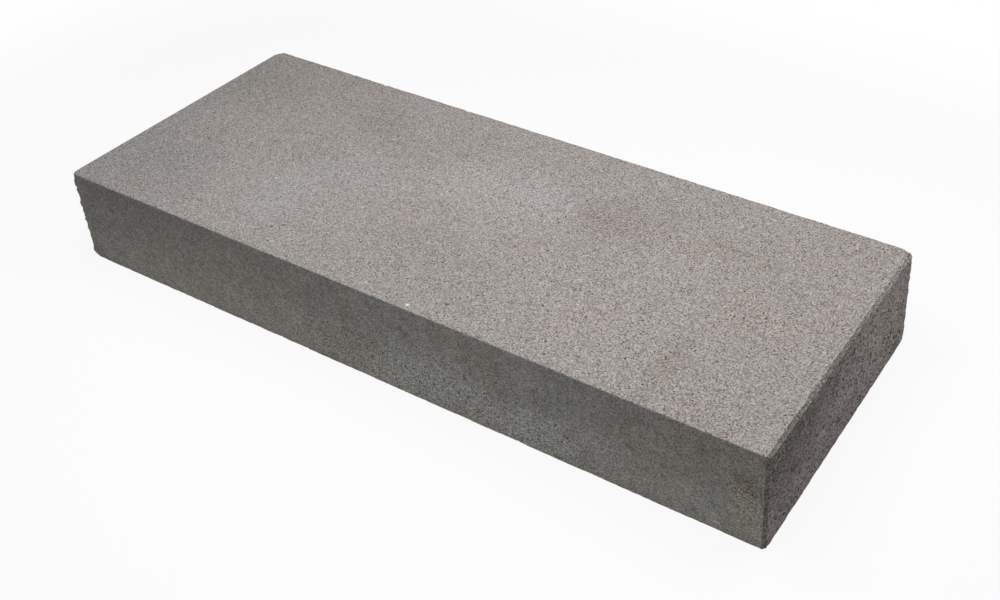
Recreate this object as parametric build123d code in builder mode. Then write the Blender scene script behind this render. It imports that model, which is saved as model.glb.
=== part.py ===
from build123d import *
import os

# Concrete block step, cast in one piece.
# X runs along the step, Y from the front riser to the back, Z up.
# The origin is the middle of the underside.

# Driving dimensions, in millimetres
step_length = 1000.0
tread_depth = 380.0
rise = 130.0
end_chamfer = 4.0
tread_arris_radius = 1.2

# Cross-section through the step: the long edges of the tread have no chamfer,
# only the small round that cast concrete wears to. The base edges stay square.
with BuildPart() as block_step:
    with BuildSketch(Plane.YZ) as cross_section:
        Rectangle(tread_depth, rise, align=(Align.CENTER, Align.MIN))
        tread_corners = cross_section.vertices().group_by(Axis.Y)[-1]
        fillet(tread_corners, radius=tread_arris_radius)
    extrude(amount=step_length / 2, both=True)

    # Plan: the four upright corners of the end faces are chamfered.
    with BuildSketch(Plane.XY) as plan:
        Rectangle(step_length, tread_depth)
        chamfer(plan.vertices(), length=end_chamfer)
    extrude(amount=rise, mode=Mode.INTERSECT)

    # Front elevation: the same chamfer runs across the top edge of each end face,
    # and the bottom edge, which beds in mortar, stays square.
    with BuildSketch(Plane.XZ) as elevation:
        Rectangle(step_length, rise, align=(Align.CENTER, Align.MIN))
        top_corners = elevation.vertices().group_by(Axis.Y)[-1]
        chamfer(top_corners, length=end_chamfer)
    extrude(amount=tread_depth / 2, both=True, mode=Mode.INTERSECT)

block_step.part.label = "block_step"

os.makedirs("parts", exist_ok=True)
export_step(block_step.part, "parts/block_step.step")
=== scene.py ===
import logging
import math
import random
from dataclasses import dataclass, field
from enum import Enum
from typing import Iterable, Sequence, Union

import bpy
from mathutils import Matrix, Vector
from mathutils.geometry import delaunay_2d_cdt


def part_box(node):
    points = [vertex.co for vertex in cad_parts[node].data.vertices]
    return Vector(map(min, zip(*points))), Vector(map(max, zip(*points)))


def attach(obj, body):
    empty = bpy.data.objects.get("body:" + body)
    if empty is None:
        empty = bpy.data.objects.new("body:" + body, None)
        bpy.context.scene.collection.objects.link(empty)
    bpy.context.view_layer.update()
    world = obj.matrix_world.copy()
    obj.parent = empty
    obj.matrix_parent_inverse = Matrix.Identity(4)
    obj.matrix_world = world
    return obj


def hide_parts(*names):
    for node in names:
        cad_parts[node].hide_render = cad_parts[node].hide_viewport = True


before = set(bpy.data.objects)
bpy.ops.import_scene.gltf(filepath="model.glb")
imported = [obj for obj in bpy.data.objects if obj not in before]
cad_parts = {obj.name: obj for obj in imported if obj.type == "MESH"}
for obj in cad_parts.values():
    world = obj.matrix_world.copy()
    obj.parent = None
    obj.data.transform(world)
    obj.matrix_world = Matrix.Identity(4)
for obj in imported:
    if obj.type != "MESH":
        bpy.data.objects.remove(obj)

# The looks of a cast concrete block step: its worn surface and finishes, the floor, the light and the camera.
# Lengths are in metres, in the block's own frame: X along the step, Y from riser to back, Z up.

LOG = logging.getLogger("block_step")

# The names of the part's node and body.
NODE = "block_step"
BODY = "root"

# The finest marks in the concrete, which every side shares, with the painted shade in its pits and pores and
# the painted highlight round its pits. Waves and grains are counted to the metre.
PALE_GRAIN = (0.62, 0.60, 0.57)
# Painted shade in the pits and pores, as a share of the warm grey.
PIT_PAINTED_SHADE = (0.20, 0.15, 0.13)
# Painted highlight on the rim round each pit.
PIT_RIM_HIGHLIGHT = 0.16

PIT_DEPTH_SHARE = 0.7
DARKEST_GRAIN = 0.1

GRAINS_PER_METRE = 760.0
GRAIN_NUDGE = 0.0011
PALE_GRAIN_LUCK = (0.94, 0.97)
DUST_WAVES = 640.0
COARSE_WAVES = 230.0
FRAY_WAVES = 42.0
STIR_WAVES = 210.0
STIR_IN_CELLS = 0.9
# Pore depths over which the painted shade and dirt in the mesh's pores come in.
HOLLOW_SHADE_DEPTHS = (0.00003, 0.0003)
BUMP_DEPTH = 0.0008
SPECULAR_LEVEL = 0.25

# The clouds of the cement.
BEND_WAVES = 7.0
BEND_REACH = 0.05
CLOUD_WAVES = 6.0
MOTTLE_WAVES = 32.0
FLECK_WAVES = 105.0
TINT_WAVES = 9.0

# The block's shape, where the frame doesn't give it, and how its skin is laid out.
END_CHAMFER = 0.004
TREAD_ARRIS_RADIUS = 0.0012
ARRIS_REACH = 0.007
ON_FACET = 1e-3
MILLIMETRES = 1000.0
UNDERSIDE_COARSENESS = 1.7

Colour = tuple[float, float, float]
Triple = tuple[float, float, float]
Term = Union["Flow", bpy.types.NodeSocket, float, Triple]


class Side(Enum):
    """The sides of the block, numbered as the skin's faces carry them."""

    TREAD = 0
    RISER = 1
    BACK = 2
    END = 3
    UNDERSIDE = 4
    CHAMFER = 5


class Flow:
    """One output socket of a node tree, with the arithmetic that a formula needs."""

    def __init__(self, wiring: "Wiring", socket: bpy.types.NodeSocket) -> None:
        """Keeps the socket and the wiring that owns it.

        Args:
            wiring: the node tree's wiring.
            socket: an output socket of that tree.
        """
        self.wiring = wiring
        self.socket = socket

    @property
    def is_vector(self) -> bool:
        """True for a vector or a colour."""
        return self.socket.type in ("VECTOR", "RGBA")

    def _with(self, operation: str, left: Term, right: Term) -> "Flow":
        """Joins two terms by one operation, as vectors if either is one.

        Args:
            operation: the maths node's operation.
            left: the first term.
            right: the second term.

        Returns:
            The result.
        """
        vectors = any(
            isinstance(term, tuple) or (isinstance(term, Flow) and term.is_vector)
            for term in (left, right)
        )
        kind = "ShaderNodeVectorMath" if vectors else "ShaderNodeMath"
        return self.wiring.node(kind, {"operation": operation}, {0: left, 1: right})

    def __add__(self, other: Term) -> "Flow":
        """The sum."""
        return self._with("ADD", self, other)

    def __radd__(self, other: Term) -> "Flow":
        """The sum, reflected."""
        return self._with("ADD", other, self)

    def __sub__(self, other: Term) -> "Flow":
        """The difference."""
        return self._with("SUBTRACT", self, other)

    def __rsub__(self, other: Term) -> "Flow":
        """The difference, reflected."""
        return self._with("SUBTRACT", other, self)

    def __mul__(self, other: Term) -> "Flow":
        """The product."""
        return self._with("MULTIPLY", self, other)

    def __rmul__(self, other: Term) -> "Flow":
        """The product, reflected."""
        return self._with("MULTIPLY", other, self)

    def __truediv__(self, other: Term) -> "Flow":
        """The quotient."""
        return self._with("DIVIDE", self, other)

    def __rtruediv__(self, other: Term) -> "Flow":
        """The quotient, reflected."""
        return self._with("DIVIDE", other, self)

    def at_least(self, other: Term) -> "Flow":
        """The larger of the two."""
        return self._with("MAXIMUM", self, other)

    def at_most(self, other: Term) -> "Flow":
        """The smaller of the two."""
        return self._with("MINIMUM", self, other)

    def power(self, exponent: float) -> "Flow":
        """This value to a power."""
        return self._with("POWER", self, exponent)

    def size(self) -> "Flow":
        """Takes off a value's sign, or measures a vector.

        Returns:
            The value without its sign, or the vector's length.
        """
        if self.is_vector:
            return self.wiring.node("ShaderNodeVectorMath", {"operation": "LENGTH"}, {0: self}, "Value")
        return self.wiring.node("ShaderNodeMath", {"operation": "ABSOLUTE"}, {0: self})

    def sign(self) -> "Flow":
        """Minus one, nought or one."""
        return self.wiring.node("ShaderNodeMath", {"operation": "SIGN"}, {0: self})

    def root(self) -> "Flow":
        """The square root."""
        return self.wiring.node("ShaderNodeMath", {"operation": "SQRT"}, {0: self})

    def step(self, low: float, high: float) -> "Flow":
        """A smooth step from nought at low to one at high; low may be the larger.

        Args:
            low: the value that gives nought.
            high: the value that gives one.

        Returns:
            The smooth step.
        """
        settings = {"interpolation_type": "SMOOTHSTEP"}
        if low < high:
            return self.wiring.node("ShaderNodeMapRange", settings, {"Value": self, 1: low, 2: high})
        return self.wiring.node(
            "ShaderNodeMapRange", settings, {"Value": self, 1: high, 2: low, 3: 1.0, 4: 0.0}
        )

    def parts(self) -> tuple["Flow", "Flow", "Flow"]:
        """The three components of a vector."""
        split = self.wiring.raw("ShaderNodeSeparateXYZ", {}, {0: self})
        return tuple(Flow(self.wiring, output) for output in split.outputs)


class Wiring:
    """Adds and joins the nodes of one tree."""

    def __init__(self, tree: bpy.types.NodeTree) -> None:
        """Takes the tree to fill.

        Args:
            tree: a shader or geometry node tree.
        """
        self.tree = tree

    def raw(self, kind: str, settings: dict, sockets: dict) -> bpy.types.Node:
        """Adds one node.

        Args:
            kind: the node's type.
            settings: its properties, which are set first.
            sockets: values or links for its inputs, by name or place.

        Returns:
            The node.
        """
        node = self.tree.nodes.new(kind)
        for name, value in settings.items():
            setattr(node, name, value)
        for key, term in sockets.items():
            entry = node.inputs[key]
            if isinstance(term, Flow):
                self.tree.links.new(term.socket, entry)
            elif isinstance(term, bpy.types.NodeSocket):
                self.tree.links.new(term, entry)
            elif entry.type == "VECTOR" and isinstance(term, (int, float)):
                entry.default_value = (term, term, term)
            elif entry.type == "RGBA":
                entry.default_value = (*term[:3], 1.0)
            else:
                entry.default_value = term
        return node

    def node(self, kind: str, settings: dict, sockets: dict, output: Union[int, str] = 0) -> Flow:
        """Adds one node and gives one of its outputs.

        Args:
            kind: the node's type.
            settings: its properties, which are set first.
            sockets: values or links for its inputs, by name or place.
            output: the output's name or place.

        Returns:
            That output.
        """
        return Flow(self, self.raw(kind, settings, sockets).outputs[output])

    def vector(self, x: Term, y: Term, z: Term) -> Flow:
        """A vector from three values."""
        return self.node("ShaderNodeCombineXYZ", {}, {0: x, 1: y, 2: z})

    def noise(self, place: Flow, scale: float, detail: float = 2.0, roughness: float = 0.5) -> Flow:
        """Smooth noise about one half, with that many waves to the metre.

        Args:
            place: where to read it.
            scale: waves to the metre.
            detail: octaves above the first.
            roughness: how strong each octave is beside the last.

        Returns:
            The noise, from nought to one.
        """
        return self.node(
            "ShaderNodeTexNoise",
            {"noise_dimensions": "3D", "normalize": True},
            {"Vector": place, "Scale": scale, "Detail": detail, "Roughness": roughness},
        )

    def blend(self, share: Term, first: Term, second: Term) -> Flow:
        """Mixes two colours.

        Args:
            share: how much of the second.
            first: the colour at a share of nought.
            second: the colour at a share of one.

        Returns:
            The mixed colour.
        """
        settings = {"data_type": "RGBA", "blend_type": "MIX", "clamp_factor": True}
        return self.node("ShaderNodeMix", settings, {0: share, 6: first, 7: second}, 2)


@dataclass(frozen=True)
class Facet:
    """One flat face of the block: a convex outline, anticlockwise as seen from outside."""

    side: Side
    corners: tuple[Vector, ...]

    @property
    def along(self) -> Vector:
        """The direction of the outline's first edge."""
        return (self.corners[1] - self.corners[0]).normalized()

    @property
    def up(self) -> Vector:
        """The direction across the first edge, into the outline."""
        across = self.corners[2] - self.corners[1]
        return (across - self.along * across.dot(self.along)).normalized()

    def flat(self, place: Vector) -> Vector:
        """The place on the facet, in its own two directions, of a point of the block."""
        offset = place - self.corners[0]
        return Vector((offset.dot(self.along), offset.dot(self.up)))

    def place(self, spot: Sequence[float]) -> Vector:
        """The point of the block at a place on the facet."""
        return self.corners[0] + self.along * spot[0] + self.up * spot[1]

    def outline(self, inset: float = 0.0) -> list[Vector]:
        """The corners of the outline, moved in from its edges.

        Args:
            inset: how far in.

        Returns:
            The corners, on the facet.
        """
        flat = [self.flat(corner) for corner in self.corners]
        count = len(flat)
        moved = []
        for index in range(count):
            before = (flat[index] - flat[index - 1]).normalized()
            after = (flat[(index + 1) % count] - flat[index]).normalized()
            inward = Vector((-before.y, before.x)) + Vector((-after.y, after.x))
            moved.append(flat[index] + inward * (inset / (1.0 + before.dot(after))))
        return moved

    def holds(self, place: Vector) -> bool:
        """True for a point of the block that lies in the facet's plane."""
        return (place - self.place(self.flat(place))).length < ON_FACET

    def room(self, spot: Sequence[float]) -> float:
        """Measures from a place on the facet to its nearest edge.

        Args:
            spot: the place, in the facet's own two directions.

        Returns:
            How far the place lies inside the edge, negative outside.
        """
        flat = self.outline()
        least = math.inf
        for index, corner in enumerate(flat):
            edge = (flat[(index + 1) % len(flat)] - corner).normalized()
            least = min(least, edge.x * (spot[1] - corner.y) - edge.y * (spot[0] - corner.x))
        return least


@dataclass(frozen=True)
class Pore:
    """A hollow left by an air bubble, a lost grain or a knock, on one facet."""

    u: float
    v: float
    reach: float
    slimness: float
    turn: float
    depth: float

    def rim(self, share: float, count: int) -> list[tuple[float, float]]:
        """Points of the pore's outline.

        Args:
            share: the ring's size as a share of the pore's.
            count: how many points.

        Returns:
            The points, on the facet.
        """
        points = []
        for index in range(count):
            angle = math.tau * (index + share) / count
            long_way = math.cos(angle) * self.reach * share
            short_way = math.sin(angle) * self.reach * self.slimness * share
            u = self.u + long_way * math.cos(self.turn) - short_way * math.sin(self.turn)
            v = self.v + long_way * math.sin(self.turn) + short_way * math.cos(self.turn)
            points.append((u, v))
        return points


@dataclass(frozen=True)
class PoreField:
    """How many pores a side has, how large they are and where they crowd together."""

    count: int
    reach: tuple[float, float]
    depth: tuple[float, float]
    slimness: tuple[float, float] = (0.45, 0.9)
    swing: float = math.pi / 2
    crowding: float = 0.0
    clusters: tuple[tuple[Vector, float, int], ...] = ()
    placed: tuple[tuple[Vector, float], ...] = ()


@dataclass
class SkinPlanner:
    """Lays out the points of a facet: close at the edges and round the pores, wide apart between."""

    facet: Facet
    draw: random.Random
    edge_step: float = 0.0016
    rows: tuple[tuple[float, float], ...] = (
        (0.5 * TREAD_ARRIS_RADIUS, 0.0016),
        (TREAD_ARRIS_RADIUS, 0.0016),
        (0.0025, 0.0018),
        (0.0040, 0.0024),
        (0.0060, 0.0032),
        (0.0090, 0.0045),
        (0.0135, 0.0065),
        (0.0195, 0.0085),
    )
    pore_rings: tuple[tuple[float, int, float], ...] = ((0.55, 5, 0.8), (1.0, 7, 0.0), (1.4, 7, 0.0))
    field_step: float = 0.0105
    still_rows: float = 0.0025
    jitter: float = 0.2
    guard: float = 1.4
    clearance: float = 1.3
    spacing: float = 1.55
    cell: float = 0.008

    def ring(self, inset: float, step: float) -> list[Vector]:
        """Points round the facet's outline, moved in from its edges.

        Args:
            inset: how far in.
            step: about how far apart.

        Returns:
            The points, or none where the facet is too narrow.
        """
        corners = self.facet.outline(inset)
        if inset and min(self.facet.room(corner) for corner in corners) < inset * 0.9:
            return []
        points = []
        for index, corner in enumerate(corners):
            edge = corners[(index + 1) % len(corners)] - corner
            count = max(1, round(edge.length / step))
            points += [corner + edge * (number / count) for number in range(count)]
        return points

    def cell_of(self, u: float, v: float) -> tuple[int, int]:
        """The cell that holds a place on the facet."""
        return int(u // self.cell), int(v // self.cell)

    def near(self, pores: dict[tuple[int, int], list[Pore]], u: float, v: float) -> list[Pore]:
        """Finds the pores about a place.

        Args:
            pores: the pores, by their cells.
            u: the place along the facet.
            v: the place up the facet.

        Returns:
            The pores in the place's cell and in the eight round it.
        """
        column, row = self.cell_of(u, v)
        cells = [(column + right, row + up) for right in (-1, 0, 1) for up in (-1, 0, 1)]
        return [pore for cell in cells for pore in pores.get(cell, [])]

    def pores(self, field_of: PoreField) -> list[Pore]:
        """Scatters pores over the facet, none on another and none at an edge.

        Args:
            field_of: how many, how large and where.

        Returns:
            The pores.
        """
        corners = self.facet.outline()
        wide, high = max(corner.x for corner in corners), max(corner.y for corner in corners)
        seeds: list[tuple[float, float, float]] = []
        for place, reach in field_of.placed:
            if self.facet.holds(place):
                seeds.append((*self.facet.flat(place), reach))
        for _ in range(field_of.count):
            u = wide * self.draw.random() ** (1.0 / (1.0 + field_of.crowding))
            seeds.append((u, high * self.draw.random(), self.draw.uniform(*field_of.reach)))
        for centre, spread, count in field_of.clusters:
            if self.facet.holds(centre):
                u, v = self.facet.flat(centre)
                for _ in range(count):
                    reach = self.draw.uniform(*field_of.reach)
                    seeds.append((self.draw.gauss(u, spread), self.draw.gauss(v, spread), reach))
        found: list[Pore] = []
        taken: dict[tuple[int, int], list[Pore]] = {}
        for u, v, reach in seeds:
            if self.facet.room((u, v)) < self.still_rows + 2 * reach * self.guard:
                continue
            crowded = (
                math.hypot(other.u - u, other.v - v) < (other.reach + reach) * self.spacing
                for other in self.near(taken, u, v)
            )
            if any(crowded):
                continue
            pore = Pore(
                u,
                v,
                reach,
                self.draw.uniform(*field_of.slimness),
                self.draw.uniform(-field_of.swing, field_of.swing),
                self.draw.uniform(*field_of.depth),
            )
            taken.setdefault(self.cell_of(u, v), []).append(pore)
            found.append(pore)
        return found

    def points(self, pores: Sequence[Pore], coarseness: float) -> tuple[list[Sequence[float]], list[float]]:
        """All the points of the facet, with how deep each lies in a pore.

        Args:
            pores: its pores.
            coarseness: how much wider apart its inner points are than usual.

        Returns:
            The points and their depths.
        """
        loose: list[Sequence[float]] = []
        last = 0.0
        for inset, step in self.rows:
            wide_step = step if inset <= TREAD_ARRIS_RADIUS else step * coarseness
            ring = self.ring(inset, wide_step)
            if not ring:
                break
            wobble = self.jitter * step if inset > self.still_rows else 0.0
            for point in ring:
                loose.append([coordinate + self.draw.uniform(-wobble, wobble) for coordinate in point])
            last = inset
        pitch = self.field_step * coarseness
        rise = pitch * math.sqrt(3) / 2
        corners = self.facet.outline()
        wide, high = max(corner.x for corner in corners), max(corner.y for corner in corners)
        for line in range(int(high / rise) + 1):
            for index in range(int(wide / pitch) + 1):
                wobble = self.jitter * pitch
                u = (index + 0.5 * (line % 2)) * pitch + self.draw.uniform(-wobble, wobble)
                v = line * rise + self.draw.uniform(-wobble, wobble)
                if self.facet.room((u, v)) > last + pitch * 0.6:
                    loose.append([u, v])
        near: dict[tuple[int, int], list[Pore]] = {}
        for pore in pores:
            near.setdefault(self.cell_of(pore.u, pore.v), []).append(pore)
        points: list[Sequence[float]] = list(self.ring(0.0, self.edge_step))
        for u, v in loose:
            clear = (
                math.hypot(pore.u - u, pore.v - v) > pore.reach * self.guard * self.clearance
                for pore in self.near(near, u, v)
            )
            if all(clear):
                points.append([u, v])
        depths = [0.0] * len(points)
        for pore in pores:
            points.append([pore.u, pore.v])
            depths.append(pore.depth)
            for share, count, sunk in self.pore_rings:
                points += pore.rim(share, count)
                depths += [pore.depth * sunk] * count
        return points, depths


@dataclass(frozen=True)
class Knock:
    """A place where an edge or a corner has been knocked off, with how wide and deep it is."""

    place: Triple
    reach: float
    depth: float


@dataclass
class FormingTree:
    """The Geometry Nodes tree that rounds the tread's arris, wears the skin and dresses each side."""

    finishes: dict[str, bpy.types.Material]
    sides: dict[str, tuple[Side, ...]]
    sizes: dict[str, float]
    knocks: tuple[Knock, ...] = ()
    seed: float = 7.0
    upright_band: tuple[float, float] = (0.014, 0.007)
    quiet_corner: tuple[float, float] = (0.006, 0.020)
    foot_band: tuple[float, float] = (0.012, 0.004)
    fray_reach: tuple[float, float] = (0.0036, 0.0045)
    uneven_waves: float = 9.0
    notch_waves: float = 125.0
    crumb_waves: float = 460.0
    ripple_waves: float = 45.0
    chip_waves: float = 160.0
    knock_waves: float = 150.0
    name: str = "form_block_step"
    inputs: dict[str, Flow] = field(default_factory=dict)

    def build(self) -> bpy.types.GeometryNodeTree:
        """Builds the tree.

        Returns:
            The node group.
        """
        group = bpy.data.node_groups.new(self.name, "GeometryNodeTree")
        group.interface.new_socket("Geometry", in_out="INPUT", socket_type="NodeSocketGeometry")
        for label in self.sizes:
            group.interface.new_socket(label, in_out="INPUT", socket_type="NodeSocketFloat")
        group.interface.new_socket("Geometry", in_out="OUTPUT", socket_type="NodeSocketGeometry")
        wiring = Wiring(group)
        entry = wiring.raw("NodeGroupInput", {}, {})
        self.inputs = {label: Flow(wiring, entry.outputs[label]) for label in self.sizes}
        shape = wiring.node(
            "GeometryNodeMergeByDistance", {}, {"Geometry": entry.outputs["Geometry"], "Distance": 1e-5}
        )
        shape = wiring.node(
            "GeometryNodeSetPosition", {}, {"Geometry": shape, "Position": self._rounded(wiring)}
        )
        shape = wiring.node(
            "GeometryNodeSetPosition", {}, {"Geometry": shape, "Offset": self._wear(wiring)}
        )
        shape = wiring.node("GeometryNodeSetShadeSmooth", {}, {0: shape, "Shade Smooth": True})
        shape = wiring.node("GeometryNodeRealizeInstances", {}, {0: shape})
        side_of = wiring.node(
            "GeometryNodeInputNamedAttribute", {"data_type": "INT"}, {"Name": "side"}
        )
        for label, material in self.finishes.items():
            chosen = None
            for side in self.sides[label]:
                same = wiring.node(
                    "FunctionNodeCompare",
                    {"data_type": "INT", "operation": "EQUAL"},
                    {2: side_of, 3: side.value},
                )
                if chosen is None:
                    chosen = same
                else:
                    chosen = wiring.node(
                        "FunctionNodeBooleanMath", {"operation": "OR"}, {0: chosen, 1: same}
                    )
            dressed = {"Geometry": shape, "Selection": chosen, "Material": material}
            shape = wiring.node("GeometryNodeSetMaterial", {}, dressed)
        last = wiring.raw("NodeGroupOutput", {}, {})
        group.links.new(shape.socket, last.inputs["Geometry"])
        return group

    def _rounded(self, wiring: Wiring) -> Flow:
        """Rounds the tread's long arrises on the sharp-edged block.

        Args:
            wiring: the tree's wiring.

        Returns:
            Where each point of the block lies once they are rounded.
        """
        half_depth = self.inputs["Tread depth"] * 0.5
        rise = self.inputs["Rise"]
        radius = self.inputs["Arris radius"]
        x, y, z = wiring.node("GeometryNodeInputPosition", {}, {}).parts()
        past_y = (y.size() - (half_depth - radius)).at_least(0.0)
        past_z = (z - (rise - radius)).at_least(0.0)
        reach = (past_y * past_y + past_z * past_z).root()
        lost = 1.0 - (radius / reach.at_least(1e-6)).at_most(1.0)
        return wiring.vector(x, y - past_y * lost * y.sign(), z - past_z * lost)

    def _wear(self, wiring: Wiring) -> Flow:
        """Wears, chips and pores the surface, always into the block.

        Args:
            wiring: the tree's wiring.

        Returns:
            How far and which way each point moves.
        """
        length, depth, rise = (self.inputs[label] for label in ("Step length", "Tread depth", "Rise"))
        place = wiring.node("GeometryNodeInputPosition", {}, {})
        x, y, z = place.parts()
        from_end, from_front = length * 0.5 - x.size(), depth * 0.5 - y.size()
        from_flat = z.at_most(rise - z)
        least = from_end.at_most(from_front).at_most(from_flat)
        most = from_end.at_least(from_front).at_least(from_flat)
        edge = from_end + from_front + from_flat - least - most
        inward = wiring.vector(
            x.sign() * from_end.step(ARRIS_REACH, 0.0),
            y.sign() * from_front.step(ARRIS_REACH, 0.0),
            (z - rise * 0.5).sign() * from_flat.step(ARRIS_REACH, 0.0),
        )
        outward = wiring.node("ShaderNodeVectorMath", {"operation": "NORMALIZE"}, {0: inward})
        spot = place + (self.seed, self.seed * 0.5, -self.seed)
        upright = from_end.at_least(from_front).step(*self.upright_band)
        shown = wiring.vector(x - length * 0.5, y + depth * 0.5, 0.0).size().step(*self.quiet_corner)
        fray, upright_fray = self.fray_reach
        frayed = (edge / (upright * upright_fray + fray)).step(1.0, 0.3)
        below = z.step(*self.foot_band)
        uneven = wiring.noise(spot, self.uneven_waves, 1.0) * self.inputs["Unevenness"]
        notches = wiring.noise(spot * (0.4, 0.4, 1.0), self.notch_waves, 2.0).step(0.46, 0.60)
        crumbs = wiring.noise(spot, self.crumb_waves, 2.0).power(2.0) + notches
        crumbliness = upright * (shown * 0.60 + 0.12) + below * 0.04 + 0.12
        crumbs = crumbs * frayed * crumbliness * self.inputs["Crumbling"]
        ripple = wiring.noise(spot, self.ripple_waves, 2.0) * edge.step(0.008, 0.0)
        chip = wiring.noise(spot, self.chip_waves, 1.5).step(0.64, 0.74) * edge.step(0.0036, 0.0)
        corner = (edge + most).step(0.010, 0.0) * self.inputs["Corner wear"]
        hollow = wiring.node(
            "GeometryNodeInputNamedAttribute", {"data_type": "FLOAT"}, {"Name": "hollow"}
        )
        lost = uneven + crumbs + ripple * self.inputs["Arris ripple"]
        lost = lost + chip * self.inputs["Chip depth"] + corner + hollow
        ragged = (wiring.noise(spot, self.knock_waves, 2.0) - 0.5) * 0.8
        for knock in self.knocks:
            away = (place - knock.place).size() / knock.reach + ragged
            lost = lost + away.step(1.0, 0.2) * knock.depth
        return outward * (0.0 - lost)


@dataclass(frozen=True)
class Patch:
    """A soft-edged stain or bloom in the concrete, or a patch of painted light or shade, at its real place
    and size.
    """

    centre: Triple
    radii: Triple
    colour: Colour
    strength: float
    raggedness: float = 0.35


@dataclass(frozen=True)
class PitLayer:
    """Pits of one size, too fine for the mesh: cells to the metre, and their girth in cells."""

    crowd: float
    girth: float
    share: float
    strength: float
    stretch: float = 1.0


@dataclass(frozen=True)
class RoughSpot:
    """A part of a side where the grain stands out more than elsewhere."""

    centre: Triple
    radii: Triple
    gain: float


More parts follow.
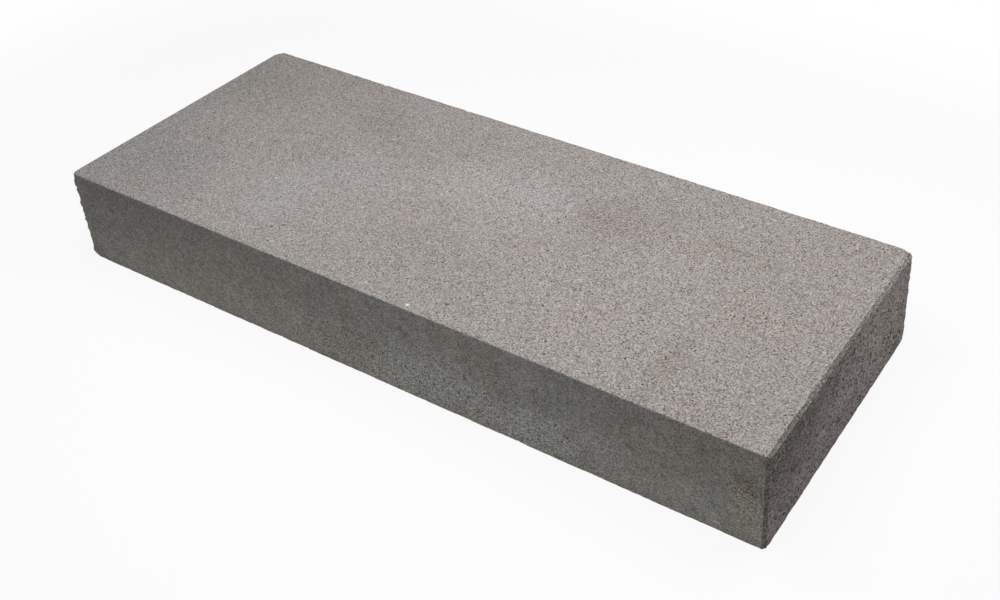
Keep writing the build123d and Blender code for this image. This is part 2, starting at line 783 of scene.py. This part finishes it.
@dataclass(frozen=True)
class ConcreteFinish:
    """A cast concrete surface: its two greys, its clouds, its sand, its pits and their painted shade, its
    stains, and its painted light and shade.
    """

    name: str
    cool: Colour
    warm: Colour
    clouds: float
    mottle: float
    sand: float
    pits: tuple[PitLayer, ...]
    pale_grains: float
    bump: float
    # Painted light towards the foot of the side, standing in for light thrown up from the floor; a negative
    # value paints shade there instead.
    painted_foot_light: float = 0.0
    roughness: float = 0.9
    smooth: float = 1.0
    rough_spots: tuple[RoughSpot, ...] = ()
    drawn_out: Triple = (1.0, 1.0, 1.0)
    patches: tuple[Patch, ...] = ()

    def material(self) -> bpy.types.Material:
        """Builds the finish's material.

        Returns:
            The material.
        """
        material = bpy.data.materials.new(self.name)
        material.use_nodes = True
        tree = material.node_tree
        tree.nodes.clear()
        wiring = Wiring(tree)
        place = wiring.node("ShaderNodeTexCoord", {}, {}, "Object")
        colour = self._patched(wiring, place, self._tones(wiring, place))
        rough = self._rough(place)
        coarse = wiring.noise(place, COARSE_WAVES, 1.0) - 0.5
        grain = place / self.drawn_out
        sand, pale = self._sand(wiring, grain)
        colour = colour * (sand * rough * self.sand + 1.0).at_least(DARKEST_GRAIN)
        colour = wiring.blend(pale * self.pale_grains, colour, PALE_GRAIN)
        # Painted shade for pits and pores: the warm grey darkened, standing in for the shade deep inside
        # them.
        dark = tuple(part * left for part, left in zip(self.warm, PIT_PAINTED_SHADE))
        height = sand + coarse * 0.1
        waves = {"Vector": place, "Scale": STIR_WAVES, "Detail": 1.0}
        stir = wiring.node("ShaderNodeTexNoise", {}, waves, "Color") - 0.5
        for layer in self.pits:
            pit, shade, rim = self._pits(wiring, grain + stir * (STIR_IN_CELLS / layer.crowd), layer)
            # A painted highlight on the rim round each pit, as if its far side caught the light.
            colour = colour * (rim * rough * PIT_RIM_HIGHLIGHT + 1.0)
            colour = wiring.blend((shade * rough).at_most(1.0), colour, dark)
            height = height - pit * PIT_DEPTH_SHARE
        hollow = wiring.node(
            "ShaderNodeAttribute", {"attribute_name": "hollow", "attribute_type": "GEOMETRY"}, {}, "Fac"
        )
        # Painted shade and dirt in the mesh's pores, darker where they are deeper.
        colour = wiring.blend(hollow.step(*HOLLOW_SHADE_DEPTHS) * 0.85, colour, dark)
        normal = wiring.node(
            "ShaderNodeBump", {}, {"Strength": self.bump, "Distance": BUMP_DEPTH, "Height": height}
        )
        shader = wiring.node(
            "ShaderNodeBsdfPrincipled",
            {},
            {
                "Base Color": colour,
                "Roughness": coarse * 0.2 + self.roughness,
                "Normal": normal,
                "Specular IOR Level": SPECULAR_LEVEL,
            },
        )
        wiring.raw("ShaderNodeOutputMaterial", {}, {"Surface": shader})
        return material

    def _tones(self, wiring: Wiring, place: Flow) -> Flow:
        """Clouds the cement's grey between the finish's cool tone and its warm one, and paints light towards
        the side's foot where the finish asks for it.

        Args:
            wiring: the material's wiring.
            place: where to read the colour.

        Returns:
            The grey, with any painted light at the foot (painted shade where the value is negative), before
            its sand, pits and stains.
        """
        bend = wiring.node("ShaderNodeTexNoise", {}, {"Vector": place, "Scale": BEND_WAVES}, "Color")
        bent = place + bend * BEND_REACH
        cloud = wiring.noise(bent, CLOUD_WAVES, 3.0, 0.55) - 0.5
        mottle = wiring.noise(bent, MOTTLE_WAVES, 3.0, 0.6) - 0.5
        fleck = wiring.noise(bent, FLECK_WAVES, 3.0, 0.6) - 0.5
        tint = wiring.noise(place + (3.1, 1.7, 0.4), TINT_WAVES, 5.0, 0.65)
        tone = cloud * self.clouds + mottle * self.mottle + fleck * (self.mottle * 1.2) + 1.0
        # Painted light from the floor: paler towards the foot and darker towards the top; a negative value
        # paints shade at the foot.
        if self.painted_foot_light:
            foot = place.parts()[2] + mottle * 0.05
            tone = tone * (foot.step(0.090, -0.010) * self.painted_foot_light + (1.0 - self.painted_foot_light * 0.5))
        return wiring.blend(tint.step(0.3, 0.7), self.cool, self.warm) * tone

    def _sand(self, wiring: Wiring, place: Flow) -> tuple[Flow, Flow]:
        """Strews the fine sand of the mix, each grain set off from those beside it.

        Args:
            wiring: the material's wiring.
            place: where to read the sand.

        Returns:
            How light the sand is, about nought, and a mask of its palest grains.
        """
        lucks = []
        for across, up in ((0.0, 0.0), (-GRAIN_NUDGE, GRAIN_NUDGE), (GRAIN_NUDGE, -GRAIN_NUDGE)):
            nudged = place + (abs(across), across, up)
            cells = self._cells(wiring, nudged, GRAINS_PER_METRE)
            lucks.append(Flow(wiring, cells.outputs["Color"]).parts())
        beside = (lucks[1][0] + lucks[2][0]) * 0.5
        dust = wiring.noise(place + (0.7, 0.2, 0.9), DUST_WAVES, 0.0) - 0.5
        return (lucks[0][0] - beside) * 0.75 + dust * 0.45, lucks[0][1].step(*PALE_GRAIN_LUCK)

    def _cells(self, wiring: Wiring, place: Flow, crowd: float) -> bpy.types.Node:
        """Grains or pits as cells, with that many to the metre."""
        return wiring.raw("ShaderNodeTexVoronoi", {"feature": "F1"}, {"Vector": place, "Scale": crowd})

    def _rough(self, place: Flow) -> Flow:
        """Finds how far the grain stands out, by place.

        Args:
            place: where to read it.

        Returns:
            The gain on the grain.
        """
        rough = place.size() * 0.0 + self.smooth
        for spot in self.rough_spots:
            away = ((place - spot.centre) / spot.radii).size()
            rough = rough + away.step(1.2, 0.1) * spot.gain
        return rough

    def _pits(self, wiring: Wiring, bent: Flow, layer: PitLayer) -> tuple[Flow, Flow, Flow]:
        """Sinks one layer of pits, with painted shade in them and a painted highlight round each.

        Args:
            wiring: the material's wiring.
            bent: where to read the pits.
            layer: how many, how wide and how dark.

        Returns:
            How deep the pits are, how dark, and the pale rim round each.
        """
        cells = self._cells(wiring, bent / (layer.stretch, 1.0, 1.0), layer.crowd)
        luck, strength, _ = Flow(wiring, cells.outputs["Color"]).parts()
        chosen = luck.step(1.0 - layer.share, 1.0 - layer.share * 0.8)
        away = Flow(wiring, cells.outputs["Distance"])
        pit = away.step(layer.girth, layer.girth * 0.6)
        rim = (away.step(layer.girth * 1.9, layer.girth * 1.2) - pit) * chosen * layer.strength
        pit = pit * chosen
        return pit, pit * (strength * 0.5 + 0.5) * layer.strength, rim

    def _patched(self, wiring: Wiring, place: Flow, colour: Flow) -> Flow:
        """Lays the finish's stains, blooms and patches of painted light and shade over its tones.

        Args:
            wiring: the material's wiring.
            place: where to read them.
            colour: the grey under them.

        Returns:
            The stained grey, with its painted light and shade.
        """
        if not self.patches:
            return colour
        frayed = wiring.noise(place, FRAY_WAVES, 4.0, 0.62) - 0.5
        for patch in self.patches:
            away = ((place - patch.centre) / patch.radii).size() + frayed * (patch.raggedness * 4.0)
            colour = wiring.blend(away.step(1.2, 0.15) * patch.strength, colour, patch.colour)
        return colour


@dataclass
class BlockStep:
    """The block step: one cast piece, with its sizes taken from the frame."""

    low: Vector
    high: Vector
    seed: int = 1776

    @property
    def extents(self) -> Vector:
        """Length, depth and rise."""
        return self.high - self.low

    def facets(self) -> Iterable[Facet]:
        """The flat faces: four long sides, two ends, and the mitred chamfers round each end.

        Returns:
            The facets, each facing outwards.
        """
        x_side, y_side, top, cut = self.high.x, self.high.y, self.high.z, END_CHAMFER
        x_in, y_in, z_in = x_side - cut, y_side - cut, top - cut
        floor = self.low.z

        def face(side: Side, *corners: Triple) -> Facet:
            """A facet from its corners."""
            return Facet(side, tuple(Vector(corner) for corner in corners))

        yield face(
            Side.TREAD,
            (-x_in, -y_side, top),
            (x_in, -y_side, top),
            (x_in, y_side, top),
            (-x_in, y_side, top),
        )
        yield face(
            Side.RISER,
            (-x_in, -y_side, floor),
            (x_in, -y_side, floor),
            (x_in, -y_side, top),
            (-x_in, -y_side, top),
        )
        yield face(
            Side.BACK,
            (x_in, y_side, floor),
            (-x_in, y_side, floor),
            (-x_in, y_side, top),
            (x_in, y_side, top),
        )
        yield face(
            Side.UNDERSIDE,
            (-x_in, y_side, floor),
            (x_in, y_side, floor),
            (x_side, y_in, floor),
            (x_side, -y_in, floor),
            (x_in, -y_side, floor),
            (-x_in, -y_side, floor),
            (-x_side, -y_in, floor),
            (-x_side, y_in, floor),
        )
        for end in (1, -1):
            yield face(
                Side.END,
                (end * x_side, -end * y_in, floor),
                (end * x_side, end * y_in, floor),
                (end * x_side, end * y_in, z_in),
                (end * x_side, -end * y_in, z_in),
            )
            yield face(
                Side.CHAMFER,
                (end * x_side, -end * y_in, z_in),
                (end * x_side, end * y_in, z_in),
                (end * x_in, end * y_side, top),
                (end * x_in, -end * y_side, top),
            )
            yield face(
                Side.CHAMFER,
                (end * x_in, -end * y_side, floor),
                (end * x_side, -end * y_in, floor),
                (end * x_side, -end * y_in, z_in),
                (end * x_in, -end * y_side, top),
            )
            yield face(
                Side.CHAMFER,
                (end * x_side, end * y_in, floor),
                (end * x_in, end * y_side, floor),
                (end * x_in, end * y_side, top),
                (end * x_side, end * y_in, z_in),
            )

    def skin(self, pore_fields: dict[Side, PoreField]) -> bpy.types.Object:
        """Makes the sharp-edged skin that the forming tree works on.

        Args:
            pore_fields: the pores of each side.

        Returns:
            The skin, with each face's side and each point's hollow as attributes.
        """
        vertices: list[Vector] = []
        faces: list[tuple[int, int, int]] = []
        hollows: list[float] = []
        sides: list[int] = []
        for number, facet in enumerate(self.facets()):
            planner = SkinPlanner(facet, random.Random(self.seed + number))
            pores = planner.pores(pore_fields[facet.side]) if facet.side in pore_fields else []
            coarseness = UNDERSIDE_COARSENESS if facet.side == Side.UNDERSIDE else 1.0
            points, depths = planner.points(pores, coarseness)
            flat = [Vector((u * MILLIMETRES, v * MILLIMETRES)) for u, v in points]
            placed, _, triangles, origins, _, _ = delaunay_2d_cdt(flat, [], [], 0, 1e-5)
            start = len(vertices)
            for point, origin in zip(placed, origins):
                vertices.append(facet.place(point / MILLIMETRES))
                hollows.append(depths[origin[0]])
            faces += [tuple(start + corner for corner in triangle) for triangle in triangles]
            sides += [facet.side.value] * len(triangles)
            counts = (len(placed), len(triangles), len(pores))
            LOG.info("%s: %d points, %d triangles, %d pores", facet.side.name, *counts)
        mesh = bpy.data.meshes.new("block_step_skin")
        mesh.from_pydata(vertices, [], faces)
        mesh.attributes.new("hollow", "FLOAT", "POINT").data.foreach_set("value", hollows)
        mesh.attributes.new("side", "INT", "FACE").data.foreach_set("value", sides)
        skin = bpy.data.objects.new("block_step_skin", mesh)
        bpy.context.scene.collection.objects.link(skin)
        return skin

    def cast(self, skin: bpy.types.Object, forming: FormingTree) -> bpy.types.Object:
        """Forms the skin and gives the finished piece.

        Args:
            skin: the sharp-edged skin.
            forming: the tree that forms, wears and dresses it.

        Returns:
            The piece, a plain mesh in the block's own frame.
        """
        group = forming.build()
        modifier = skin.modifiers.new("form", "NODES")
        modifier.node_group = group
        for item in group.interface.items_tree:
            if item.in_out == "INPUT" and item.name in forming.sizes:
                modifier[item.identifier] = forming.sizes[item.name]
        graph = bpy.context.evaluated_depsgraph_get()
        mesh = bpy.data.meshes.new_from_object(skin.evaluated_get(graph))
        skin.modifiers.remove(modifier)
        bpy.data.objects.remove(skin)
        mesh.name = "block_step_concrete"
        piece = bpy.data.objects.new("block_step_concrete", mesh)
        bpy.context.scene.collection.objects.link(piece)
        return piece


@dataclass(frozen=True)
class SoftBox:
    """A square lamp with a soft edge to its light."""

    name: str
    place: Triple
    aim: Triple
    size: float
    power: float

    def hang(self) -> None:
        """Hangs the lamp in the scene, out of the camera's sight."""
        light = bpy.data.lights.new(self.name, "AREA")
        light.shape = "SQUARE"
        light.size = self.size
        light.energy = self.power
        box = bpy.data.objects.new(self.name, light)
        box.location = self.place
        sight = Vector(self.aim) - Vector(self.place)
        box.rotation_euler = sight.to_track_quat("-Z", "Y").to_euler()
        box.visible_camera = False
        bpy.context.scene.collection.objects.link(box)


@dataclass
class Studio:
    """The pale floor, the soft light and the camera."""

    half_block: Triple
    floor_pale: float = 0.9
    floor_dim: float = 0.15
    board: tuple[float, float] = (0.25, 0.8)
    floor_glow: float = 0.90
    floor_reach: float = 12.0
    floor_drop: float = 0.0002
    sensor: float = 36.0
    soft_boxes: tuple[SoftBox, ...] = (
        SoftBox("right_softbox", (0.70, 0.50, 1.30), (0.60, 0.40, 0.10), 0.7, 9.6),
        SoftBox("front_softbox", (0.20, -0.50, 1.30), (0.20, -0.50, 0.10), 0.7, 6.3),
        SoftBox("left_softbox", (-0.30, -0.12, 1.30), (-0.30, -0.12, 0.10), 0.7, 7.2),
    )
    camera_place: Triple = (0.8709, -1.0296, 1.0600)
    camera_azimuth: float = 31.337
    camera_elevation: float = 32.441
    camera_roll: float = -0.860
    lens: float = 47.759
    shift: tuple[float, float] = (-0.14, -0.15)

    def floor(self) -> None:
        """Lays a wide pale floor that keeps the block's shadow and throws light back up near it."""
        half, drop = self.floor_reach, self.floor_drop
        mesh = bpy.data.meshes.new("floor")
        corners = [(-half, -half, -drop), (half, -half, -drop), (half, half, -drop), (-half, half, -drop)]
        mesh.from_pydata(corners, [], [(0, 1, 2, 3)])
        floor = bpy.data.objects.new("floor", mesh)
        bpy.context.scene.collection.objects.link(floor)
        material = bpy.data.materials.new("pale_floor")
        material.use_nodes = True
        material.node_tree.nodes.clear()
        wiring = Wiring(material.node_tree)
        seen = self._seen(wiring)
        place = wiring.node("ShaderNodeTexCoord", {}, {}, "Object")
        flat = wiring.node("ShaderNodeVectorMath", {"operation": "ABSOLUTE"}, {0: place}) - self.half_block
        far = flat.at_least((0.0, 0.0, 0.0)).size().step(*self.board)
        tone = self.floor_pale - far * (self.floor_pale - self.floor_dim)
        matt = wiring.node("ShaderNodeBsdfDiffuse", {}, {"Color": wiring.vector(tone, tone, tone)})
        glow = wiring.node("ShaderNodeEmission", {}, {"Color": (1.0, 1.0, 1.0), "Strength": 1.0})
        share = seen * (self.floor_glow + far * (1.0 - self.floor_glow))
        mixed = wiring.node("ShaderNodeMixShader", {}, {0: share, 1: matt, 2: glow})
        wiring.raw("ShaderNodeOutputMaterial", {}, {"Surface": mixed})
        mesh.materials.append(material)

    def _seen(self, wiring: Wiring) -> Flow:
        """Tells rays that show the background from those that light the block.

        Args:
            wiring: the wiring of the floor's material or of the sky.

        Returns:
            One for the rays that show it, nought for the others.
        """
        path = wiring.raw("ShaderNodeLightPath", {}, {})
        names = ("Is Camera Ray", "Is Glossy Ray", "Is Transmission Ray")
        camera, glossy, clear = (Flow(wiring, path.outputs[name]) for name in names)
        return camera.at_least(glossy).at_least(clear)

    def sky(self) -> None:
        """A white backdrop to look at, which gives no light of its own."""
        world = bpy.data.worlds.new("studio")
        bpy.context.scene.world = world
        world.use_nodes = True
        world.node_tree.nodes.clear()
        wiring = Wiring(world.node_tree)
        seen = self._seen(wiring)
        shader = wiring.node("ShaderNodeBackground", {}, {"Color": (1.0, 1.0, 1.0), "Strength": seen})
        wiring.raw("ShaderNodeOutputWorld", {}, {"Surface": shader})

    def camera(self) -> None:
        """Sets up the camera at the photograph's viewing angle."""
        data = bpy.data.cameras.new("camera")
        data.lens = self.lens
        data.sensor_width = self.sensor
        data.shift_x, data.shift_y = self.shift
        data.dof.use_dof = False
        data.clip_start, data.clip_end = 0.01, 100.0
        azimuth = math.radians(self.camera_azimuth)
        elevation = math.radians(self.camera_elevation)
        back = Vector(
            (
                math.sin(azimuth) * math.cos(elevation),
                -math.cos(azimuth) * math.cos(elevation),
                math.sin(elevation),
            )
        )
        turn = (-back).to_track_quat("-Z", "Y").to_matrix().to_4x4()
        camera = bpy.data.objects.new("camera", data)
        roll = Matrix.Rotation(math.radians(self.camera_roll), 4, "Z")
        camera.matrix_world = Matrix.Translation(Vector(self.camera_place)) @ turn @ roll
        bpy.context.scene.collection.objects.link(camera)
        bpy.context.scene.camera = camera

    def build(self) -> None:
        """Builds the whole studio."""
        self.floor()
        self.sky()
        for soft_box in self.soft_boxes:
            soft_box.hang()
        self.camera()
        bpy.context.scene.view_settings.view_transform = "Standard"


# The finishes. Each patch and rough spot stands at its real place on the block.
TREAD = ConcreteFinish(
    name="tread_concrete",
    cool=(0.347, 0.328, 0.314),
    warm=(0.348, 0.311, 0.292),
    clouds=0.18,
    mottle=0.09,
    sand=1.05,
    pits=(PitLayer(270.0, 0.34, 0.15, 1.5, 1.4), PitLayer(480.0, 0.44, 0.24, 1.4, 1.2)),
    pale_grains=0.55,
    bump=0.5,
    smooth=0.85,
    rough_spots=(RoughSpot((0.60, 0.0, 0.13), (1.0, 0.6, 0.5), 0.25),),
    patches=(
        Patch((-0.495, 0.000, 0.13), (0.060, 0.500, 0.10), (0.285, 0.277, 0.266), 0.50),
        Patch((0.400, 0.020, 0.13), (0.150, 0.240, 0.10), (0.345, 0.308, 0.282), 0.50),
        Patch((0.050, -0.190, 0.13), (0.460, 0.100, 0.10), (0.302, 0.286, 0.270), 0.35),
        Patch((0.020, 0.055, 0.13), (0.130, 0.070, 0.10), (0.402, 0.386, 0.374), 0.60),
        Patch((-0.060, 0.040, 0.13), (0.070, 0.050, 0.10), (0.385, 0.371, 0.360), 0.45),
        Patch((-0.170, 0.010, 0.13), (0.080, 0.060, 0.10), (0.372, 0.362, 0.354), 0.45),
        Patch((-0.230, -0.095, 0.13), (0.050, 0.090, 0.10), (0.380, 0.374, 0.370), 0.55),
        Patch((-0.235, 0.108, 0.13), (0.062, 0.040, 0.10), (0.272, 0.256, 0.236), 0.55),
        Patch((0.165, 0.068, 0.13), (0.070, 0.045, 0.10), (0.290, 0.246, 0.238), 0.60),
        Patch((0.320, 0.085, 0.13), (0.060, 0.030, 0.10), (0.292, 0.254, 0.230), 0.40),
        Patch((-0.430, 0.100, 0.13), (0.090, 0.070, 0.10), (0.282, 0.272, 0.252), 0.50),
        Patch((-0.430, -0.120, 0.13), (0.140, 0.110, 0.10), (0.262, 0.257, 0.250), 0.55),
        Patch((0.020, -0.100, 0.13), (0.150, 0.075, 0.10), (0.296, 0.282, 0.262), 0.60),
        Patch((0.350, -0.130, 0.13), (0.020, 0.060, 0.05), (0.240, 0.204, 0.178), 0.45),
        Patch((0.051, -0.182, 0.13), (0.0036, 0.0032, 0.01), (0.720, 0.710, 0.690), 0.90, 0.05),
    ),
)
RISER = ConcreteFinish(
    name="riser_concrete",
    cool=(0.325, 0.325, 0.303),
    warm=(0.338, 0.311, 0.279),
    clouds=0.28,
    mottle=0.58,
    sand=1.22,
    pits=(PitLayer(240.0, 0.32, 0.12, 0.9), PitLayer(420.0, 0.36, 0.18, 0.8)),
    pale_grains=0.3,
    bump=0.45,
    # Painted light from the floor: paler towards the foot.
    painted_foot_light=0.32,
    smooth=0.8,
    rough_spots=(
        RoughSpot((0.10, -0.19, 0.030), (0.30, 0.1, 0.07), 0.5),
        RoughSpot((0.478, -0.19, 0.074), (0.035, 0.05, 0.034), 0.45),
        RoughSpot((0.480, -0.19, 0.030), (0.030, 0.05, 0.060), 0.2),
    ),
    patches=(
        Patch((0.040, -0.19, 0.042), (0.030, 0.05, 0.032), (0.400, 0.405, 0.385), 0.50),
        Patch((0.090, -0.19, 0.050), (0.045, 0.05, 0.046), (0.390, 0.395, 0.375), 0.50),
        Patch((0.140, -0.19, 0.036), (0.046, 0.05, 0.040), (0.390, 0.395, 0.375), 0.50),
        Patch((0.215, -0.19, 0.032), (0.030, 0.05, 0.034), (0.400, 0.402, 0.380), 0.50),
        Patch((0.245, -0.19, 0.037), (0.022, 0.05, 0.030), (0.400, 0.402, 0.380), 0.45),
        Patch((0.310, -0.19, 0.037), (0.034, 0.05, 0.036), (0.380, 0.385, 0.360), 0.35),
        Patch((0.180, -0.19, 0.083), (0.024, 0.05, 0.044), (0.240, 0.236, 0.215), 0.45),
        Patch((0.230, -0.19, 0.074), (0.020, 0.05, 0.024), (0.245, 0.240, 0.220), 0.40),
        Patch((-0.300, -0.19, 0.126), (0.240, 0.05, 0.034), (0.235, 0.228, 0.205), 0.50),
        Patch((-0.380, -0.19, 0.107), (0.060, 0.05, 0.034), (0.230, 0.224, 0.200), 0.40),
        Patch((-0.490, -0.19, 0.014), (0.022, 0.05, 0.022), (0.240, 0.200, 0.160), 0.50),
        Patch((0.472, -0.19, 0.085), (0.024, 0.05, 0.013), (0.190, 0.150, 0.118), 0.60),
        Patch((0.485, -0.19, 0.074), (0.016, 0.05, 0.018), (0.215, 0.172, 0.130), 0.50),
        Patch((0.480, -0.19, 0.024), (0.026, 0.05, 0.060), (0.385, 0.358, 0.290), 0.65),
        Patch((0.443, -0.19, 0.0114), (0.0066, 0.01, 0.0016), (0.860, 0.660, 0.370), 0.95, 0.02),
    ),
)
ENDS = ConcreteFinish(
    name="end_concrete",
    cool=(0.385, 0.354, 0.336),
    warm=(0.398, 0.345, 0.322),
    clouds=0.26,
    mottle=0.50,
    sand=1.9,
    pits=(PitLayer(190.0, 0.40, 0.16, 1.7), PitLayer(420.0, 0.46, 0.34, 1.4)),
    drawn_out=(1.0, 1.6, 1.0),
    smooth=0.85,
    rough_spots=(
        RoughSpot((0.5, -0.170, 0.100), (0.05, 0.030, 0.045), 0.7),
        RoughSpot((0.5, 0.110, 0.050), (0.05, 0.130, 0.090), 0.2),
    ),
    pale_grains=0.25,
    bump=0.8,
    # Painted shade: darker towards the foot.
    painted_foot_light=-0.16,
    patches=(
        # Painted shade: the end darkened towards its front, where less light reaches it.
        Patch((0.5, -0.190, 0.110), (0.05, 0.240, 0.100), (0.170, 0.154, 0.145), 0.90),
        Patch((0.5, 0.005, 0.060), (0.05, 0.012, 0.026), (0.430, 0.410, 0.395), 0.55),
        Patch((0.5, 0.015, 0.079), (0.05, 0.010, 0.014), (0.400, 0.380, 0.365), 0.45),
        Patch((0.5, 0.080, 0.019), (0.05, 0.045, 0.022), (0.400, 0.350, 0.330), 0.45),
        Patch((0.5, 0.180, 0.028), (0.05, 0.030, 0.014), (0.390, 0.345, 0.325), 0.40),
        Patch((0.5, 0.128, 0.037), (0.05, 0.008, 0.020), (0.180, 0.120, 0.095), 0.55),
        Patch((0.5, 0.155, 0.012), (0.05, 0.012, 0.012), (0.185, 0.125, 0.100), 0.50),
        Patch((0.5, -0.165, 0.094), (0.05, 0.030, 0.040), (0.200, 0.186, 0.176), 0.50),
        # Painted highlight: a thin pale line down the end's front edge, beside the chamfer.
        Patch((0.5, -0.1855, 0.065), (0.05, 0.0018, 0.070), (0.480, 0.450, 0.430), 0.50, 0.03),
    ),
)
CHAMFERS = ConcreteFinish(
    name="chamfer_concrete",
    cool=(0.288, 0.275, 0.252),
    warm=(0.270, 0.248, 0.215),
    clouds=0.35,
    mottle=0.70,
    sand=1.6,
    pits=(PitLayer(300.0, 0.42, 0.45, 0.85),),
    pale_grains=0.6,
    bump=0.8,
    patches=(
        # Paler towards the back of the top chamfer: partly painted light, partly a cooler grey.
        Patch((0.498, 0.120, 0.128), (0.02, 0.090, 0.02), (0.430, 0.420, 0.404), 0.6),
        # Painted shade down the front chamfer, beside the end's painted shade.
        Patch((0.498, -0.190, 0.060), (0.02, 0.02, 0.09), (0.160, 0.148, 0.132), 0.6),
    ),
)
# The pores that are large enough for the mesh, and the knocks on the edges.
PORE_FIELDS = {
    Side.TREAD: PoreField(
        count=1050,
        reach=(0.0005, 0.0012),
        depth=(0.0003, 0.0010),
        slimness=(0.35, 0.8),
        swing=0.8,
        crowding=0.5,
        placed=(
            (Vector((-0.267, 0.107, 0.13)), 0.0016),
            (Vector((-0.073, -0.118, 0.13)), 0.0018),
            (Vector((-0.490, -0.014, 0.13)), 0.0014),
            (Vector((-0.456, -0.015, 0.13)), 0.0014),
            (Vector((-0.402, -0.014, 0.13)), 0.0014),
            (Vector((0.350, -0.155, 0.13)), 0.0022),
        ),
    ),
    Side.RISER: PoreField(count=130, reach=(0.0005, 0.0011), depth=(0.0003, 0.0009)),
    Side.BACK: PoreField(count=130, reach=(0.0005, 0.0011), depth=(0.0003, 0.0009)),
    Side.END: PoreField(
        count=380,
        reach=(0.0010, 0.0030),
        depth=(0.0008, 0.0020),
        slimness=(0.40, 0.80),
        swing=0.6,
        crowding=0.3,
        clusters=(
            (Vector((0.5, 0.010, 0.032)), 0.012, 12),
            (Vector((0.5, 0.040, 0.060)), 0.012, 12),
            (Vector((0.5, 0.080, 0.065)), 0.012, 12),
            (Vector((0.5, 0.115, 0.046)), 0.010, 10),
            (Vector((0.5, 0.143, 0.048)), 0.010, 10),
            (Vector((0.5, -0.166, 0.106)), 0.011, 34),
            (Vector((0.5, -0.045, 0.084)), 0.010, 6),
        ),
    ),
    Side.UNDERSIDE: PoreField(count=60, reach=(0.0008, 0.0020), depth=(0.0008, 0.0016)),
}
KNOCKS = (
    Knock((-0.496, 0.190, 0.130), 0.004, 0.0006),
    Knock((0.498, 0.188, 0.000), 0.005, 0.0010),
    Knock((-0.496, -0.190, 0.000), 0.003, 0.0006),
    Knock((-0.293, 0.190, 0.130), 0.004, 0.0018),
)


def main() -> None:
    """Builds the block, dresses it, and sets up the studio."""
    logging.basicConfig(level=logging.INFO, format="%(message)s")
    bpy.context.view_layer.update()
    low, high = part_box(NODE)
    block = BlockStep(low, high)
    length, depth, rise = block.extents
    finishes = {finish.name: finish.material() for finish in (TREAD, RISER, ENDS, CHAMFERS)}
    sides = {
        TREAD.name: (Side.TREAD,),
        RISER.name: (Side.RISER, Side.BACK, Side.UNDERSIDE),
        ENDS.name: (Side.END,),
        CHAMFERS.name: (Side.CHAMFER,),
    }
    sizes = {
        "Step length": length,
        "Tread depth": depth,
        "Rise": rise,
        "Arris radius": TREAD_ARRIS_RADIUS,
        "Unevenness": 0.0003,
        "Crumbling": 0.0022,
        "Arris ripple": 0.0004,
        "Chip depth": 0.0007,
        "Corner wear": 0.0001,
    }
    skin = block.skin(PORE_FIELDS)
    piece = block.cast(skin, FormingTree(finishes, sides, sizes, KNOCKS))
    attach(piece, BODY)
    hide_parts(NODE)
    LOG.info("%s: %d triangles on body %s", piece.name, len(piece.data.polygons), BODY)
    Studio((0.5 * length, 0.5 * depth, 0.0)).build()


if __name__ == "__main__":
    main()
